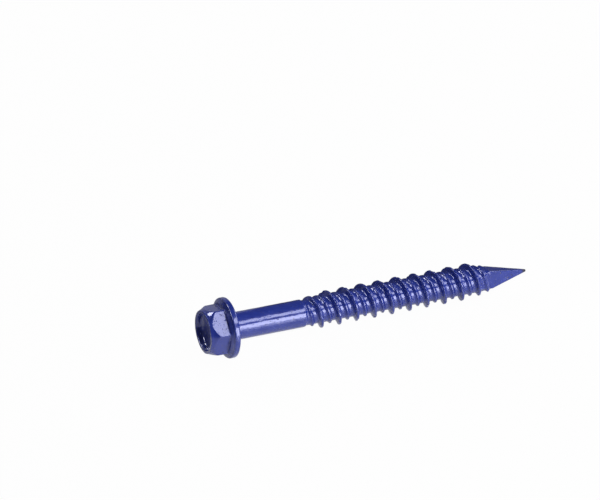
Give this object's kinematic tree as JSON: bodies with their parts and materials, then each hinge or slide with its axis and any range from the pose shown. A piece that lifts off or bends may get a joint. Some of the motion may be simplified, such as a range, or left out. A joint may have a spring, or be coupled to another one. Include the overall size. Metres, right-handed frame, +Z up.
{
  "type": "concrete screw",
  "caption": "Blue-coated concrete screw with an indented hex washer head, a plain shank, a high and low thread and a four-sided point.",
  "frame": {"origin": "centre of the part's footprint on the surface it lies on", "axes": "+X from the head to the tip, along the surface; +Z up; the screw lies on the rim of its washer and a crest of its thread"},
  "size_m": [0.0622, 0.0108, 0.0108],
  "materials": {
    "coating": "semi-gloss baked blue coating on carbon steel"
  },
  "bodies": {
    "root": {"concrete_screw": "coating"}
  },
  "joints": []
}
